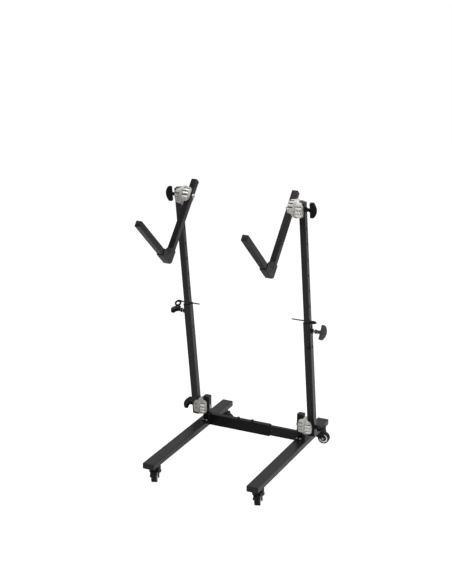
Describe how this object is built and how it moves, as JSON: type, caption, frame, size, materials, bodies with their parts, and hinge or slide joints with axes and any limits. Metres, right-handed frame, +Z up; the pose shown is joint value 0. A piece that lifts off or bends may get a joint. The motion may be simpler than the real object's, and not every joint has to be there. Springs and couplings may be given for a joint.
{
  "type": "folding amp stand",
  "caption": "Wheeled folding floor stand: legs on a telescoping crossbar, hinged telescoping uprights and tilting L-shaped arms that hold a cabinet at an angle.",
  "frame": {"origin": "on the floor under the middle of the whole stand's box, with the tyres standing on z = 0", "axes": "+X to the right seen from the front, where the arms reach out; +Y to the back; +Z up"},
  "size_m": [0.702, 0.7964, 1.1827],
  "materials": {
    "black_paint": "fine-textured semi-gloss powder coat",
    "black_plastic": "satin moulded",
    "black_steel": "black oxide, satin",
    "casting": "raw cast, matt",
    "steel": "zinc plated",
    "wheel_white": "moulded",
    "tyre_rubber": "smooth"
  },
  "bodies": {
    "left_base": {"left_leg": "black_paint", "left_post": "black_paint", "left_base_plugs": "black_plastic", "left_base_bolts": "steel", "outer_crossbar": "black_paint", "crossbar_liner": "black_plastic", "crossbar_clamp_bolts": "black_steel", "left_fold_base_casting": "casting"},
    "right_base": {"right_leg": "black_paint", "right_post": "black_paint", "right_base_plugs": "black_plastic", "right_base_bolts": "steel", "inner_crossbar": "black_paint", "right_fold_base_casting": "casting"},
    "front_left_caster": {"front_left_fork": "black_plastic"},
    "front_left_wheel": {"front_left_rim": "wheel_white", "front_left_tyre": "tyre_rubber"},
    "rear_left_caster": {"rear_left_fork": "black_plastic"},
    "rear_left_wheel": {"rear_left_rim": "wheel_white", "rear_left_tyre": "tyre_rubber"},
    "left_fold_knob": {"left_fold_knob": "black_plastic"},
    "left_upright": {"left_lower_tube": "black_paint", "left_guide_collar": "black_plastic", "left_fold_swing_casting": "casting"},
    "left_height_knob": {"left_height_knob": "black_plastic"},
    "left_riser": {"left_upper_tube": "black_paint", "left_upper_plug": "black_plastic", "left_tilt_upright_casting": "casting"},
    "left_pin": {"left_height_pin": "steel", "left_pin_loop": "black_plastic"},
    "left_arm": {"left_back_arm": "black_paint", "left_bottom_arm": "black_paint", "left_arm_elbow": "black_plastic", "left_arm_plugs": "black_plastic", "left_tilt_arm_casting": "casting", "left_tilt_bolt": "steel"},
    "left_tilt_knob": {"left_tilt_knob": "black_plastic"},
    "front_right_caster": {"front_right_fork": "black_plastic"},
    "front_right_wheel": {"front_right_rim": "wheel_white", "front_right_tyre": "tyre_rubber"},
    "rear_right_caster": {"rear_right_fork": "black_plastic"},
    "rear_right_wheel": {"rear_right_rim": "wheel_white", "rear_right_tyre": "tyre_rubber"},
    "right_fold_knob": {"right_fold_knob": "black_plastic"},
    "right_upright": {"right_lower_tube": "black_paint", "right_guide_collar": "black_plastic", "right_fold_swing_casting": "casting"},
    "right_height_knob": {"right_height_knob": "black_plastic"},
    "right_riser": {"right_upper_tube": "black_paint", "right_upper_plug": "black_plastic", "right_tilt_upright_casting": "casting"},
    "right_pin": {"right_height_pin": "steel", "right_pin_loop": "black_plastic"},
    "right_arm": {"right_back_arm": "black_paint", "right_bottom_arm": "black_paint", "right_arm_elbow": "black_plastic", "right_arm_plugs": "black_plastic", "right_tilt_arm_casting": "casting", "right_tilt_bolt": "steel"},
    "right_tilt_knob": {"right_tilt_knob": "black_plastic"}
  },
  "joints": [
    {"name": "crossbar_width_slide", "type": "slide", "parent": "left_base", "child": "right_base", "axis": [1, 0, 0], "range_m": [-0.09, 0.035]},
    {"name": "front_left_swivel", "type": "hinge", "parent": "left_base", "child": "front_left_caster", "pos_m": [-0.231, -0.27584, 0.06], "axis": [0, 0, 1], "continuous": true},
    {"name": "front_left_axle", "type": "hinge", "parent": "front_left_caster", "child": "front_left_wheel", "pos_m": [-0.22201, -0.29809, 0.025], "axis": [0.9272, 0.3746, 0], "continuous": true},
    {"name": "rear_left_swivel", "type": "hinge", "parent": "left_base", "child": "rear_left_caster", "pos_m": [-0.231, 0.34916, 0.06], "axis": [0, 0, 1], "continuous": true},
    {"name": "rear_left_axle", "type": "hinge", "parent": "rear_left_caster", "child": "rear_left_wheel", "pos_m": [-0.20709, 0.35125, 0.025], "axis": [-0.0872, 0.9962, 0], "continuous": true},
    {"name": "left_fold_knob_turn", "type": "hinge", "parent": "left_base", "child": "left_fold_knob", "pos_m": [-0.3, 0.17316, 0.152], "axis": [-1, 0, 0], "range_deg": [0, 450]},
    {"name": "left_upright_fold", "type": "hinge", "parent": "left_base", "child": "left_upright", "pos_m": [-0.245, 0.17316, 0.152], "axis": [1, 0, 0], "range_deg": [-98.5, 65]},
    {"name": "left_height_knob_turn", "type": "hinge", "parent": "left_upright", "child": "left_height_knob", "pos_m": [-0.3, 0.1062, 0.60002], "axis": [-1, 0, 0], "range_deg": [0, 450]},
    {"name": "left_riser_slide", "type": "slide", "parent": "left_upright", "child": "left_riser", "axis": [0, -0.1478, 0.989], "range_m": [0, 0.136]},
    {"name": "left_pin_pull", "type": "slide", "parent": "left_riser", "child": "left_pin", "axis": [-1, 0, 0], "range_m": [-0.011, 0.072]},
    {"name": "left_arm_tilt", "type": "hinge", "parent": "left_riser", "child": "left_arm", "pos_m": [-0.2455, 0.02831, 1.12124], "axis": [1, 0, 0], "range_deg": [-45, 50]},
    {"name": "left_tilt_knob_turn", "type": "hinge", "parent": "left_arm", "child": "left_tilt_knob", "pos_m": [-0.3, 0.02831, 1.12124], "axis": [-1, 0, 0], "range_deg": [0, 450]},
    {"name": "front_right_swivel", "type": "hinge", "parent": "right_base", "child": "front_right_caster", "pos_m": [0.231, -0.27584, 0.06], "axis": [0, 0, 1], "continuous": true},
    {"name": "front_right_axle", "type": "hinge", "parent": "front_right_caster", "child": "front_right_wheel", "pos_m": [0.23881, -0.29853, 0.025], "axis": [0.9455, 0.3256, 0], "continuous": true},
    {"name": "rear_right_swivel", "type": "hinge", "parent": "right_base", "child": "rear_right_caster", "pos_m": [0.231, 0.34916, 0.06], "axis": [0, 0, 1], "continuous": true},
    {"name": "rear_right_axle", "type": "hinge", "parent": "rear_right_caster", "child": "rear_right_wheel", "pos_m": [0.25491, 0.35125, 0.025], "axis": [-0.0872, 0.9962, 0], "continuous": true},
    {"name": "right_fold_knob_turn", "type": "hinge", "parent": "right_base", "child": "right_fold_knob", "pos_m": [0.3, 0.17316, 0.152], "axis": [1, 0, 0], "range_deg": [0, 450]},
    {"name": "right_upright_fold", "type": "hinge", "parent": "right_base", "child": "right_upright", "pos_m": [0.245, 0.17316, 0.152], "axis": [1, 0, 0], "range_deg": [-98.5, 65]},
    {"name": "right_height_knob_turn", "type": "hinge", "parent": "right_upright", "child": "right_height_knob", "pos_m": [0.3, 0.1062, 0.60002], "axis": [1, 0, 0], "range_deg": [0, 450]},
    {"name": "right_riser_slide", "type": "slide", "parent": "right_upright", "child": "right_riser", "axis": [0, -0.1478, 0.989], "range_m": [0, 0.136]},
    {"name": "right_pin_pull", "type": "slide", "parent": "right_riser", "child": "right_pin", "axis": [1, 0, 0], "range_m": [0, 0.087]},
    {"name": "right_arm_tilt", "type": "hinge", "parent": "right_riser", "child": "right_arm", "pos_m": [0.2455, 0.02831, 1.12124], "axis": [1, 0, 0], "range_deg": [-45, 50]},
    {"name": "right_tilt_knob_turn", "type": "hinge", "parent": "right_arm", "child": "right_tilt_knob", "pos_m": [0.3, 0.02831, 1.12124], "axis": [1, 0, 0], "range_deg": [0, 450]}
  ]
}
